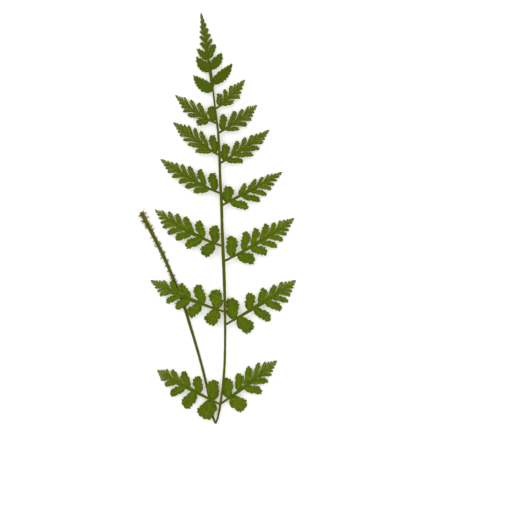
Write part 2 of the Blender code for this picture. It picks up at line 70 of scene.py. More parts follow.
# Each pinna: its midrib (foot, middle, apex) and its leaflets on the tip side and the stalk side,
# as (place along the midrib, tip x, tip y, width)
PINNAE = {
    "left_pinna_1": dict(
        midrib=((1.6, 14.0), (-20.5, 25.4), (-43.3, 38.2)),
        upper=[(.125, -2.0, 31.2, 10.4), (.34, -13.8, 34.0, 8.0), (.50, -24.2, 37.6, 6.4),
               (.63, -32.4, 38.6, 5.4), (.74, -36.9, 38.9, 4.6)],
        lower=[(.14, -8.8, 3.4, 14.2), (.405, -22.8, 11.0, 9.9), (.56, -33.4, 20.0, 6.8),
               (.70, -37.5, 27.0, 5.2), (.79, -40.4, 31.0, 3.8)]),
    "right_pinna_1": dict(
        midrib=((1.6, 14.0), (20.2, 27.4), (42.4, 45.2)),
        upper=[(.18, 5.0, 32.6, 9.6), (.365, 14.6, 36.0, 7.0), (.485, 22.2, 41.0, 6.2),
               (.58, 29.3, 43.6, 4.8), (.68, 34.0, 44.0, 4.6)],
        lower=[(.225, 18.3, 9.6, 11.8), (.46, 31.4, 22.2, 6.8), (.58, 35.8, 30.2, 5.6),
               (.73, 38.2, 34.8, 4.0)]),
    "left_pinna_2": dict(
        midrib=((4.9, 79.6), (-20.0, 88.6), (-48.2, 102.0)),
        upper=[(.115, -0.8, 95.4, 10.8), (.315, -14.0, 98.9, 8.6), (.50, -26.6, 99.6, 7.0),
               (.61, -33.2, 101.6, 5.6), (.73, -38.8, 101.7, 4.6)],
        lower=[(.125, -5.0, 70.0, 11.4), (.35, -19.9, 75.9, 9.0), (.50, -29.6, 81.6, 7.2),
               (.62, -36.5, 85.8, 5.4), (.73, -41.2, 91.0, 4.4)]),
    "right_pinna_2": dict(
        midrib=((5.2, 70.3), (30.1, 85.0), (55.8, 102.2)),
        upper=[(.13, 8.6, 89.2, 10.6), (.35, 22.4, 93.0, 8.2), (.50, 32.4, 96.6, 6.6),
               (.60, 40.5, 98.7, 5.1), (.70, 45.8, 100.7, 4.6)],
        lower=[(.195, 22.9, 64.8, 11.4), (.41, 37.0, 73.2, 7.8), (.565, 45.2, 80.8, 6.6),
               (.66, 50.1, 86.5, 4.8), (.76, 51.8, 90.8, 3.8)]),
    "left_pinna_3": dict(
        midrib=((3.4, 126.0), (-20.0, 136.2), (-45.0, 152.2)),
        upper=[(.12, -1.6, 140.7, 8.6), (.30, -13.4, 144.2, 7.2), (.45, -23.2, 147.0, 6.0),
               (.56, -29.2, 149.0, 5.4), (.67, -34.8, 150.4, 4.6), (.77, -39.8, 151.2, 3.8)],
        lower=[(.145, -9.6, 118.8, 10.0), (.31, -22.6, 125.2, 7.8), (.47, -29.9, 130.8, 6.6),
               (.59, -35.6, 134.7, 5.4), (.69, -39.1, 139.0, 4.4)]),
    "right_pinna_3": dict(
        midrib=((4.3, 115.2), (29.2, 129.0), (54.8, 146.2)),
        upper=[(.12, 8.9, 133.2, 9.4), (.285, 19.9, 136.6, 7.0), (.41, 27.2, 139.0, 6.2),
               (.53, 34.6, 142.0, 5.9), (.64, 40.2, 143.0, 4.6), (.73, 44.7, 144.4, 3.8)],
        lower=[(.195, 26.0, 114.6, 9.2), (.375, 35.0, 120.6, 7.2), (.51, 42.2, 125.4, 5.4),
               (.63, 46.4, 130.0, 4.8), (.72, 49.0, 134.0, 3.8)]),
    "left_pinna_4": dict(
        midrib=((2.2, 163.3), (-18.4, 173.1), (-41.0, 188.0)),
        upper=[(.105, -3.5, 178.0, 7.6), (.28, -12.7, 180.6, 5.8), (.41, -20.4, 182.7, 5.2),
               (.53, -25.6, 184.0, 4.8), (.64, -29.9, 185.0, 4.2)],
        lower=[(.195, -17.2, 164.3, 5.4), (.34, -23.2, 167.6, 5.2), (.47, -27.9, 171.2, 4.9),
               (.59, -32.6, 175.2, 4.4), (.70, -35.9, 178.8, 3.8)]),
    "right_pinna_4": dict(
        midrib=((2.6, 154.6), (23.2, 165.7), (46.2, 178.7)),
        upper=[(.10, 7.2, 168.6, 9.0), (.31, 19.5, 170.6, 4.7), (.455, 27.0, 173.6, 4.2),
               (.57, 31.9, 175.1, 3.9), (.67, 36.0, 176.8, 3.6)],
        lower=[(.15, 21.6, 152.8, 6.8), (.34, 30.1, 158.0, 5.4), (.49, 34.7, 162.2, 4.7),
               (.62, 38.2, 166.2, 4.2)]),
    "left_pinna_5": dict(
        midrib=((1.3, 190.2), (-14.2, 200.0), (-32.0, 214.0)),
        upper=[(.095, -3.7, 204.7, 6.6), (.27, -12.0, 207.7, 4.0), (.41, -16.5, 209.8, 4.0),
               (.54, -20.8, 211.5, 3.8)],
        lower=[(.17, -15.9, 193.0, 4.4), (.32, -21.4, 198.1, 4.2), (.46, -24.6, 201.2, 4.1),
               (.60, -27.1, 204.6, 3.6)]),
    "right_pinna_5": dict(
        midrib=((1.4, 184.4), (18.2, 195.2), (36.9, 208.7)),
        upper=[(.10, 5.2, 198.6, 7.2), (.26, 14.1, 200.7, 4.6), (.40, 19.7, 203.2, 4.2),
               (.54, 24.6, 204.8, 4.0)],
        lower=[(.13, 18.1, 185.8, 5.1), (.30, 25.4, 190.5, 4.4), (.45, 29.8, 195.2, 4.4),
               (.60, 32.4, 199.6, 3.8)]),
    "left_pinna_6": dict(
        midrib=((-0.4, 212.8), (-14.2, 220.2), (-30.4, 233.2)),
        upper=[(.105, -4.6, 225.3, 6.8), (.27, -13.8, 227.6, 4.6), (.41, -19.3, 229.6, 4.3),
               (.55, -24.0, 231.4, 3.8)],
        lower=[(.22, -14.9, 212.4, 6.2), (.38, -21.3, 218.5, 4.4), (.52, -24.6, 221.6, 4.0)]),
    "right_pinna_6": dict(
        midrib=((0.5, 206.0), (13.2, 214.4), (28.2, 226.2)),
        upper=[(.12, 3.6, 219.4, 6.2), (.29, 12.2, 221.9, 4.7), (.43, 17.9, 223.1, 4.3),
               (.60, 21.9, 225.2, 3.8)],
        lower=[(.18, 15.4, 208.8, 3.8), (.38, 20.9, 211.9, 5.0), (.53, 24.0, 215.6, 4.5)]),
    "left_pinna_7": dict(
        midrib=((-3.3, 237.0), (-10.2, 240.4), (-17.6, 247.4)), wing=4.3, widest=.52, upper=[], lower=[]),
    "right_pinna_7": dict(
        midrib=((-1.2, 223.4), (8.9, 231.9), (19.4, 244.2)), wing=2.8, widest=.60,
        upper=[(.13, 0.9, 234.1, 5.6), (.25, 5.2, 237.2, 4.4), (.42, 9.7, 239.9, 4.0)],
        lower=[(.20, 11.4, 227.9, 4.4), (.40, 16.1, 231.6, 4.6)]),
}
# The undivided upper part, where the lobes run together: the same entries, and the half width of a lobe
# ("wing") with the place along its midrib where it is widest
FROND_TIP = {
    "left_lobe_8": dict(
        midrib=((-5.2, 250.8), (-10.4, 254.4), (-15.4, 260.5)), wing=3.8, widest=.50, upper=[], lower=[]),
    "right_lobe_8": dict(
        midrib=((-3.9, 241.4), (3.8, 246.8), (10.4, 255.6)), wing=4.0, widest=.56, upper=[], lower=[]),
    "left_lobe_9": dict(
        midrib=((-6.7, 258.4), (-10.5, 262.0), (-15.2, 266.4)), wing=2.7, widest=.50, upper=[], lower=[]),
    "right_lobe_9": dict(
        midrib=((-5.6, 251.8), (-0.2, 256.8), (2.7, 263.5)), wing=3.6, widest=.54, upper=[], lower=[]),
    "end": dict(
        midrib=((-6.4, 256.6), (-8.9, 272.5), (-12.0, 291.8)), wing=2.7, widest=.42,
        upper=[(.07, -2.0, 268.9, 5.6), (.30, -3.9, 272.7, 3.8), (.43, -5.3, 276.5, 3.6)],
        lower=[(.28, -12.6, 270.2, 3.4), (.42, -12.8, 274.6, 3.2), (.54, -12.5, 278.4, 3.0)]),
}

# Where the design's millimetres lie in the frame. Two apexes are exact corners of their nodes' boxes;
# SEAT lifts the thinner blade so that nothing of it is below the surface.
APEX_LEFT_2 = PINNAE["left_pinna_2"]["midrib"][2][0]
APEX_END = FROND_TIP["end"]["midrib"][2][1]
SEAT = 0.08
SHIFT = np.array((
    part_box("left_pinna_2")[0][0] / MM - APEX_LEFT_2,
    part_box("frond_tip")[1][1] / MM - APEX_END,
    SEAT,
))

# Leaflets: their width against the tables, their bow as a share of it, where the free margin starts, and
# the size and the places of the lobes after the last one listed
LEAFLET_SCALE = 0.89
SICKLE = 0.05
MARGIN_START = 0.30
END_LOBE_WIDTH = 3.3
END_LOBES = (0.26, 0.50, 0.70, 0.86)
MIDRIB_HALF_WIDTH = 0.80
WING_HALF_WIDTH = 2.1
WING_WIDEST = 0.72
TOOTH_PEAK = 0.68
TOOTH_BACK = 0.32

# Sinuses: (where one starts, as a share of the leaflet's length, and its half width at the margin)
SLIT = (0.36, 0.38)
SHORT_SLIT = (0.76, 0.30)
SLIT_POINT = 0.06
SLIT_BOW = 0.07
WIDEST_GAP = 1.6
SMALLEST_SLIT = 2.1
SMALLEST_PATCH = 6.0

# The net of the blade: spacing of its outlines and inner points, how far these keep from one another, and
# the distance at which two corners become one
OUTLINE_STEP = 0.26
WING_STEP = 0.28
SLIT_STEP = 0.25
TIP_STALK_STEP = 0.36
TIP_STALK_HALF_WIDTH = 1.25
GRID = 0.42
GRID_JITTER = 0.07
GRID_CLEARANCE = 0.22
VEIN_CLEARANCE = 0.13
WELD = 0.03

# Thickness and relief
BLADE = 0.26
RIM = 0.09
RIM_WIDTH = 0.9
VEIN_SUNK = 0.13
VEIN_RAISED = 0.22
DOME = 0.10
SEAM_DEPTH = 0.16
RIPPLE = 0.08
ARCH_FOOT = 2.5
ARCH_END = 0.9
ARCH_HEIGHT = 3.5
PINNA_RISE = 1.2
PINNA_APEX_HEIGHT = 0.8
SIDE_DROOP = 0.009
LOWEST_BLADE = 0.45
STIPE_CLEARANCE = 3.0

# Stalks: corners round the section, depth of the groove and of the ribs as shares of the radius, and how
# far the rachis is from the cut end
STALK_SIDES = 20
RACHIS_FURROW = 0.22
STIPE_FURROW = 0.16
STALK_RIBS = 0.025
RACHIS_FROM_END = 150.0
ROD_SIDES = 8
ROD_FURROW = 0.25

# Papery scales on the lower stalk
SCALE_SEED = 41
SCALE_COUNT = 110
SCALE_REACH = 72.0
SCALE_HALF_THICKNESS = 0.035
LOWEST_SCALE = 0.45
# Along one scale: share of its length, and of its width
SCALE_FORM = ((0.0, 0.6), (0.25, 1.0), (0.55, 0.85), (0.8, 0.45), (1.0, 0.06))

UP = (0.0, 0.0, 1.0)


def smoothstep(x, low, high):
    u = np.clip((np.asarray(x, float) - low) / (high - low), 0.0, 1.0)
    return u * u * (3.0 - 2.0 * u)


def unit(vectors):
    return vectors / np.linalg.norm(vectors, axis=1)[:, None]


def tree_of(points):
    """A search tree of plan points."""
    tree = kdtree.KDTree(len(points))
    for i, (x, y) in enumerate(points):
        tree.insert((x, y, 0.0), i)
    tree.balance()
    return tree


def gaps(tree, points):
    """Distance of each point from the nearest one in the tree."""
    return np.array([tree.find((x, y, 0.0))[2] for x, y in points])


# -------- plan of the blade

# The first stations of the stipe lie beneath the blade, the others lead up to the rachis
STIPE_FOLD = 13
STRAND = [(x, y, r) for x, y, z, r in STIPE[STIPE_FOLD:]] + RACHIS + [(x, y, 0.5) for x, y in TIP_STALK]
STRAND_Y = [p[1] for p in STRAND]


def strand(y):
    """Centre and radius of the stalk inside the blade at y."""
    return np.interp(y, STRAND_Y, [p[0] for p in STRAND]), np.interp(y, STRAND_Y, [p[2] for p in STRAND])


def rachis_height(y):
    """Height of the stalk inside the blade, from its lowest pinnae (y = 14) to the tip."""
    u = np.clip((np.asarray(y, float) - 14.0) / 278.0, 0.0, 1.0)
    return ARCH_FOOT * (1.0 - u) + ARCH_END * u + ARCH_HEIGHT * np.sin(math.pi * u)


def midrib_line(route, count=41):
    """A smooth bow through foot, middle and apex."""
    foot, middle, apex = (np.array(p, float) for p in route)
    t = np.linspace(0.0, 1.0, count)[:, None]
    control = 2.0 * middle - (foot + apex) / 2.0
    return (1 - t) ** 2 * foot + 2 * t * (1 - t) * control + t ** 2 * apex


def along(line, t):
    """The point of a line at the place t, from 0 to 1."""
    i = np.asarray(t) * (len(line) - 1)
    steps = np.arange(len(line))
    return np.stack([np.interp(i, steps, line[:, 0]), np.interp(i, steps, line[:, 1])], -1)


def line_sides(line):
    """The unit vector to the left of the line at each of its points."""
    slope = unit(np.gradient(line, axis=0))
    return np.stack([-slope[:, 1], slope[:, 0]], 1)


def nearest(line, points):
    """For each point: place along the line (0 to 1) and distance."""
    best = np.full(len(points), 1e9)
    place = np.zeros(len(points))
    for i in range(len(line) - 1):
        run = line[i + 1] - line[i]
        off = points - line[i]
        k = np.clip(off @ run / (run @ run), 0.0, 1.0)
        gap = np.linalg.norm(off - k[:, None] * run, axis=1)
        near = gap < best
        best[near] = gap[near]
        place[near] = (i + k[near]) / (len(line) - 1)
    return place, best


def resample(points, step):
    """The same closed outline with evenly spaced points."""
    ring = np.vstack([points, points[:1]])
    run = np.concatenate([[0.0], np.cumsum(np.linalg.norm(np.diff(ring, axis=0), axis=1))])
    count = max(int(run[-1] / step), 12)
    s = np.arange(count) * run[-1] / count
    return np.stack([np.interp(s, run, ring[:, 0]), np.interp(s, run, ring[:, 1])], 1)


def tooth_margin(points, reach, depth, pitch, lean, scalloped=False):
    """Uneven teeth, sharp or scalloped; reach is 0 on the smooth foot and 1 on the toothed margin."""
    ahead = unit(np.roll(points, -1, axis=0) - np.roll(points, 1, axis=0))
    out = np.stack([ahead[:, 1], -ahead[:, 0]], 1)
    steps = np.linalg.norm(np.roll(points, -1, axis=0) - points, axis=1)
    s = np.concatenate([[0.0], np.cumsum(steps[:-1])])
    total = steps.sum()
    teeth = max(int(round(total / pitch)), 6)
    odd = points[0, 0] * 1.7 + points[0, 1] * 2.3
    phase = s / total * teeth + 0.22 * np.sin(2 * math.pi * 3 * s / total + odd)
    size = 1.0 + 0.35 * np.sin(np.floor(phase) * 2.4 + odd)
    side = s < total / 2
    # The teeth of both margins point towards the apex
    u = phase - np.floor(phase)
    u = np.where(side, u, 1.0 - u)
    if scalloped:
        wave = np.sin(math.pi * u) ** 0.7
    else:
        wave = np.where(u < TOOTH_PEAK, (u / TOOTH_PEAK) ** 0.75, ((1.0 - u) / TOOTH_BACK) ** 0.8)
    push = depth * size * (wave - 0.75) * reach
    slide = lean * depth * wave * reach * np.where(side, 1.0, -1.0)
    return points + out * push[:, None] + ahead * slide[:, None]


def axes(foot, tip):
    """Length of a leaflet, and its unit vectors ahead and to the left."""
    run = tip - foot
    length = np.linalg.norm(run)
    ahead = run / length
    return length, ahead, np.array((-ahead[1], ahead[0]))


def half_width(u, width, foot_power, tip_power):
    """Half width of a leaflet at the share u of its length: powers near 0 are blunt, near 1 pointed."""
    peak = foot_power / (foot_power + tip_power)
    top = peak ** foot_power * (1.0 - peak) ** tip_power
    return 0.5 * width * u ** foot_power * (1.0 - u) ** tip_power / top


def leaflet(foot, tip, width, foot_power, tip_power, bend, turn, teeth=True):
    """Outline of a leaflet or lobe: wedge-shaped foot, rounded toothed end, slightly sickle-shaped."""
    length, ahead, across = axes(foot, tip)
    u = (1.0 - np.cos(np.linspace(0.0, math.pi, 40))) / 2.0
    half = half_width(u, width, foot_power, tip_power)
    sag = bend * np.sin(math.pi * u)
    spine = foot + ahead * length * u[:, None]
    # The margin towards the pinna's apex has its shoulder further out than the other one
    lean = 0.16 * np.sin(2.0 * math.pi * u) * turn * (1.0 if teeth else 0.3)
    right = spine + across * (sag - half * (1.0 - lean))[:, None]
    left = (spine + across * (sag + half * (1.0 + lean))[:, None])[-2:0:-1]
    ring = resample(np.vstack([right, left]), OUTLINE_STEP)
    reach = smoothstep((ring - foot) @ ahead / length, 0.22, 0.45)
    # 0 for a leaflet 2.5 mm wide, 1 from 7.5 mm
    big = min(max((width - 2.5) / 5.0, 0.0), 1.0)
    if not teeth:
        return tooth_margin(ring, reach, depth=0.34, pitch=1.30, lean=0.30)
    depth, pitch = 0.55 + 0.45 * big, 2.5 + 0.9 * big
    ring = tooth_margin(ring, reach, depth, pitch, lean=0.10, scalloped=True)
    ring = resample(ring, OUTLINE_STEP)
    reach = smoothstep((ring - foot) @ ahead / length, 0.18, 0.40)
    return tooth_margin(ring, reach, depth=0.28 + 0.10 * big, pitch=1.15, lean=0.30)


def wing_half(spec, t):
    """Half width of the web along a midrib: narrow between leaflets, and the whole of an undivided lobe."""
    full, widest = spec.get("wing", WING_HALF_WIDTH), spec.get("widest", WING_WIDEST)
    if not spec["upper"]:
        widest *= 0.8
    down = np.clip((t - widest) / (1.0 - widest), 0.0, 1.0)
    if spec["upper"]:
        up = np.clip((t - 0.1) / (widest - 0.1), 0.0, 1.0)
        return (MIDRIB_HALF_WIDTH + (full - MIDRIB_HALF_WIDTH) * up ** 1.3) * (1.0 - down) ** 0.60
    up = np.clip(t / widest, 0.0, 1.0)
    half = MIDRIB_HALF_WIDTH + (full - MIDRIB_HALF_WIDTH) * np.sin(up * math.pi / 2.0) ** 0.6
    return half * (1.0 - down ** 1.9) ** 0.9


def wing(spec, line):
    """Outline of the web along a midrib; that of an undivided lobe is toothed."""
    side = line_sides(line) * wing_half(spec, np.linspace(0.0, 1.0, len(line)))[:, None]
    lean = 0.0 if spec["upper"] else 0.1
    right = line - side * (1.0 - lean)
    left = line + side * (1.0 + lean)
    ring = resample(np.vstack([right, left[::-1][1:]]), WING_STEP)
    if not spec["upper"]:
        reach = smoothstep(nearest(line, ring)[0], 0.14, 0.30)
        ring = tooth_margin(ring, reach, depth=0.75, pitch=2.9, lean=0.20, scalloped=True)
        ring = resample(ring, WING_STEP)
        reach = smoothstep(nearest(line, ring)[0], 0.14, 0.30)
        ring = tooth_margin(ring, reach, depth=0.60, pitch=1.5, lean=0.35)
    return ring


def leaflet_rows(spec):
    """Every leaflet of a pinna, then the lobes that get smaller into its apex."""
    apex = np.array(spec["midrib"][2], float)
    rows = []
    for side in ("upper", "lower"):
        listed = [(t, x, y, w * LEAFLET_SCALE, True, side) for t, x, y, w in spec[side]]
        rows += listed
        if listed:
            t0, x0, y0 = listed[-1][:3]
            for f in END_LOBES:
                x = x0 * (1 - f) + apex[0] * f
                y = y0 * (1 - f) + apex[1] * f
                rows.append((t0 + (0.97 - t0) * f, x, y, END_LOBE_WIDTH * (1 - 0.6 * f), False, side))
    return rows


class Blade:
    """What one pinna, or the frond's tip, is made from.

    shapes: outlines that are united; slits: outlines cut from them; veins: (points, strength);
    lobes: (foot, tip, width, powers) of each leaflet; lines: midribs; margins: outer ends of the leaflets.
    """

    def __init__(self):
        self.shapes = []
        self.veins = []
        self.lobes = []
        self.lines = []
        self.margins = []
        self.slits = []

    def add(self, spec):
        line = midrib_line(spec["midrib"])
        self.lines.append(line)
        self.shapes.append(wing(spec, line))
        before = None
        for t, x, y, width, listed, side in leaflet_rows(spec):
            foot_power = float(np.interp(t, (0.15, 0.35, 0.6, 0.8), (0.52, 0.52, 0.42, 0.32)))
            tip_power = float(np.interp(t, (0.15, 0.40), (0.37, 0.38)))
            foot = along(line, t)
            tip = np.array((x, y))
            slope = along(line, min(t + 0.05, 1.0)) - foot
            ahead = axes(foot, tip)[1]
            turn = np.sign(slope[0] * ahead[1] - slope[1] * ahead[0])
            bend = -SICKLE * width * turn if listed else 0.0
            ring = leaflet(foot, tip, width, foot_power, tip_power, bend, turn, listed)
            self.shapes.append(ring)
            run = tip - foot
            self.margins.append(ring[(ring - foot) @ run > MARGIN_START * run @ run])
            self.lobes.append((foot, tip, width, foot_power, tip_power))
            if before and before[3] == side:
                self.slits += slit(before, (foot, tip, width), turn, SLIT if listed else SHORT_SLIT)
            before = (foot, tip, width, side)
            self.veins += leaflet_veins(foot, tip, width, foot_power, tip_power, listed)
        if not spec["upper"]:
            self.veins += lobe_veins(spec, line)
        self.veins.append((line[1:-2:2], 1.0))
        return line


def slit(first, second, turn, form):
    """The narrow sinus between two neighbours that would run together; none where they stand apart."""
    mean = 0.5 * (first[2] + second[2])
    reach = [lobe[0] + 0.6 * (lobe[1] - lobe[0]) for lobe in (first, second)]
    if np.linalg.norm(reach[1] - reach[0]) > WIDEST_GAP * mean or mean < SMALLEST_SLIT:
        return []
    part = first[2] / (first[2] + second[2])
    inner = first[0] * (1 - part) + second[0] * part
    outer = first[1] * (1 - part) + second[1] * part
    run = outer - inner
    length = np.linalg.norm(run)
    across = np.array((-run[1], run[0])) / length
    start, widest = form
    # It runs on past the tips, so that it is open at the margin
    u = np.linspace(start, 1.15, 12)
    bow = -SLIT_BOW * length * turn * np.sin(math.pi * np.minimum(u, 1.0))
    spine = inner + run * u[:, None] + across * bow[:, None]
    half = SLIT_POINT + (widest - SLIT_POINT) * ((u - start) / (1.0 - start)) ** 0.8
    ring = np.vstack([spine - across * half[:, None], (spine + across * half[:, None])[::-1]])
    return [resample(ring, SLIT_STEP)]


def leaflet_veins(foot, tip, width, foot_power, tip_power, listed):
    """A midvein and its forward-pointing side veins, as (points, strength)."""
    length, ahead, across = axes(foot, tip)
    reach = np.linspace(0.04, 0.90, max(int(length / 0.5), 4))
    veins = [(foot + ahead * length * reach[:, None], 0.8 if listed else 0.5)]
    if not listed or width < 3.4:
        return veins
    count = 5 if width > 7.5 else 4 if width > 5.0 else 3
    for k in range(count):
        start = 0.16 + 0.56 * k / count
        for sign in (-1, 1):
            begin = start + (0.05 if sign > 0 else 0.0)
            end = min(begin + 0.30, 0.93)
            half = half_width(end, width, foot_power, tip_power)
            out = np.linspace(0.08, 0.80, max(int(half / 0.45), 3))
            go = begin + (end - begin) * out ** 1.25
            points = foot + ahead * (length * go)[:, None] + across * (sign * half * out)[:, None]
            veins.append((points, 0.45))
    return veins


def lobe_veins(spec, line):
    """Side veins of an undivided lobe."""
    veins = []
    sides = line_sides(line)
    for k in range(6):
        start = 0.12 + 0.11 * k
        end = min(start + 0.22, 0.94)
        half = float(wing_half(spec, np.array([end]))[0])
        out = np.linspace(0.10, 0.78, max(int(half / 0.45), 3))
        t = start + (end - start) * out
        for sign in (-1, 1):
            veins.append((along(line, t) + along(sides, t) * (sign * half * out)[:, None], 0.5))
    return veins


def inside(ring, points):
    """Which points lie inside a closed outline."""
    x, y = points[:, 0], points[:, 1]
    hit = np.zeros(len(points), bool)
    for (x0, y0), (x1, y1) in zip(ring, np.roll(ring, -1, axis=0)):
        if y0 != y1:
            hit ^= ((y0 > y) != (y1 > y)) & (x < (x1 - x0) * (y - y0) / (y1 - y0) + x0)
    return hit


def flat_mesh(shapes, slits, veins, rng):
    """Union of the outlines less the slits, filled with a fine even net whose edges follow the veins."""
    # The corners of the outlines come first, each outline as one face of the net
    verts = []
    faces = []
    for ring in shapes + slits:
        start = len(verts)
        verts += [tuple(p) for p in ring]
        faces.append(list(range(start, len(verts))))
    rims = np.array(verts)
    # Then the points of the veins that lie inside, clear of the outlines, and the edges between them
    vein_points = np.vstack([p for p, s in veins])
    vein_ids = np.concatenate([np.full(len(p), i) for i, (p, s) in enumerate(veins)])
    order = np.arange(len(vein_points))
    held = np.zeros(len(vein_points), bool)
    for ring in shapes:
        held |= inside(ring, vein_points)
    held &= gaps(tree_of(rims), vein_points) > VEIN_CLEARANCE
    vein_points, vein_ids, order = vein_points[held], vein_ids[held], order[held]
    joined = (np.diff(vein_ids) == 0) & (np.diff(order) == 1)
    # Then a slightly uneven grid of equal triangles in what is left
    low = rims.min(axis=0)
    high = rims.max(axis=0)
    grid = []
    for j, y in enumerate(np.arange(low[1], high[1], GRID * 0.866)):
        grid += [(x, y) for x in np.arange(low[0] + (j % 2) * GRID / 2, high[0], GRID)]
    grid = np.array(grid) + rng.uniform(-GRID_JITTER, GRID_JITTER, (len(grid), 2))
    held = np.zeros(len(grid), bool)
    for ring in shapes:
        box_low, box_high = ring.min(axis=0), ring.max(axis=0)
        near = np.all((grid > box_low) & (grid < box_high), axis=1) & ~held
        held[near] |= inside(ring, grid[near])
    grid = grid[held]
    grid = grid[gaps(tree_of(np.vstack([rims, vein_points])), grid) > GRID_CLEARANCE]
    points = [Vector(p) for p in np.vstack([rims, vein_points, grid]).tolist()]
    first = len(verts)
    edges = [(first + i, first + i + 1) for i in np.flatnonzero(joined).tolist()]
    net = delaunay_2d_cdt(points, edges, faces, 0, WELD)
    flat = bmesh.new()
    made = [flat.verts.new((v.x, v.y, 0.0)) for v in net[0]]
    # A triangle belongs to the blade when it lies in one outline or more and in no slit
    for corners, owners in zip(net[2], net[5]):
        if owners and max(owners) < len(shapes):
            flat.faces.new([made[i] for i in corners])
    loose = [v for v in flat.verts if not v.link_faces]
    bmesh.ops.delete(flat, geom=loose, context="VERTS")
    drop_scraps(flat)
    part_fans(flat)
    flat.normal_update()
    return flat


def patches(faces, crosses):
    """Groups of faces that hang together across the edges for which crosses is true."""
    left = set(faces)
    groups = []
    for first in list(faces):
        if first not in left:
            continue
        left.discard(first)
        patch = [first]
        for face in patch:
            for other in [f for e in face.edges if crosses(e) for f in e.link_faces]:
                if other in left:
                    left.discard(other)
                    patch.append(other)
        groups.append(patch)
    return groups


def drop_scraps(flat):
    """Slivers of a margin that a slit has cut off are removed."""
    scraps = []
    for patch in patches(flat.faces, lambda edge: True):
        if sum(face.calc_area() for face in patch) < SMALLEST_PATCH:
            scraps += patch
    bmesh.ops.delete(flat, geom=scraps, context="FACES")


def part_fans(flat):
    """Where two outlines only meet at a point, each gets its own corner, drawn a little apart."""
    for vert in list(flat.verts):
        if sum(len(e.link_faces) == 1 for e in vert.link_edges) <= 2:
            continue
        for fan in patches(vert.link_faces, lambda edge: vert in edge.verts)[1:]:
            centre = sum((f.calc_center_median() for f in fan), Vector()) / len(fan)
            twin = flat.verts.new(vert.co.lerp(centre, 0.2))
            corners = [[twin if v is vert else v for v in f.verts] for f in fan]
            bmesh.ops.delete(flat, geom=fan, context="FACES_ONLY")
            for loop in corners:
                flat.faces.new(loop)
    bmesh.ops.delete(flat, geom=[e for e in flat.edges if not e.link_faces], context="EDGES")
    bmesh.ops.delete(flat, geom=[v for v in flat.verts if not v.link_faces], context="VERTS")


# -------- relief

STIPE_LINE = np.array([(x, y) for x, y, z, r in STIPE[:STIPE_FOLD]])


def blade_height(line, points):
    """Mid-surface of the blade, as the solids have it: from the stalk out and down to the surface.

    line is the pinna's midrib, or None for the frond's tip. The blade stays clear of the stipe beneath it.
    """
    x, y = points[:, 0], points[:, 1]
    if line is None:
        away = np.abs(x - strand(y)[0])
        z = rachis_height(y) - SIDE_DROOP * away ** 2
    else:
        t, away = nearest(line, points)
        foot = float(rachis_height(line[0][1])) - 0.2
        z = foot * (1 - t) + PINNA_APEX_HEIGHT * t + PINNA_RISE * np.sin(math.pi * t) - SIDE_DROOP * away ** 2
    z = z + 0.35 * np.sin(0.23 * x + 0.17 * y) * np.sin(0.11 * x - 0.29 * y)
    gap = nearest(STIPE_LINE, points)[1]
    z = np.maximum(z, STIPE_CLEARANCE - 0.22 * np.maximum(gap - 2.5, 0.0))
    return np.maximum(z, LOWEST_BLADE)


def dome(lobes, points):
    """Each leaflet swells between its margins; also which leaflet a point belongs to."""
    lift = np.zeros(len(points))
    owner = np.full(len(points), -1)
    for k, (foot, tip, width, foot_power, tip_power) in enumerate(lobes):
        length, ahead, across = axes(foot, tip)
        u = (points - foot) @ ahead / length
        w = (points - foot) @ across
        within = np.clip(u, 1e-4, 1 - 1e-4)
        v = np.clip(1.0 - (w / half_width(within, width, foot_power, tip_power)) ** 2, 0.0, 1.0)
        swell = DOME * width * v * np.sin(math.pi * within) ** 0.6
        swell[(u <= 0.0) | (u >= 1.0)] = 0.0
        more = swell > lift
        lift[more] = swell[more]
        owner[more] = k
    return lift, owner


def vein_strength(veins, points):
    """1 on the midrib, less on the finer veins, fading to 0 beside them."""
    tree = tree_of(np.vstack([p for p, s in veins]))
    values = [s for p, s in veins for _ in p]
    out = np.zeros(len(points))
    for i, (x, y) in enumerate(points):
        best = 0.0
        for where, index, gap in tree.find_n((x, y, 0.0), 3):
            best = max(best, values[index] * max(1.0 - gap / (0.22 + 0.20 * values[index]), 0.0))
        out[i] = best
    return out


def seam_strength(lobe_rings, points, depth):
    """1 where a leaflet's own margin runs inside the blade, because its neighbour lies against it; a crease
    is sunk there, and the material paints a highlight along it.
    """
    if not lobe_rings:
        return np.zeros(len(points))
    gap = gaps(tree_of(np.vstack(lobe_rings)), points)
    return (1.0 - smoothstep(gap, 0.05, 0.40)) * smoothstep(depth, 0.15, 0.5)


def make_object(name, verts, faces, attributes, mat):
    """A smooth piece from millimetre coordinates of the design."""
    mesh = bpy.data.meshes.new(name)
    mesh.from_pydata(((np.asarray(verts) + SHIFT) * MM).tolist(), [], faces)
    for key, values in attributes.items():
        mesh.attributes.new(key, "FLOAT", "POINT").data.foreach_set("value", np.asarray(values, np.float32))
    mesh.materials.append(mat)
    mesh.shade_smooth()
    mesh.update()
    obj = bpy.data.objects.new(name, mesh)
    bpy.context.collection.objects.link(obj)
    return obj


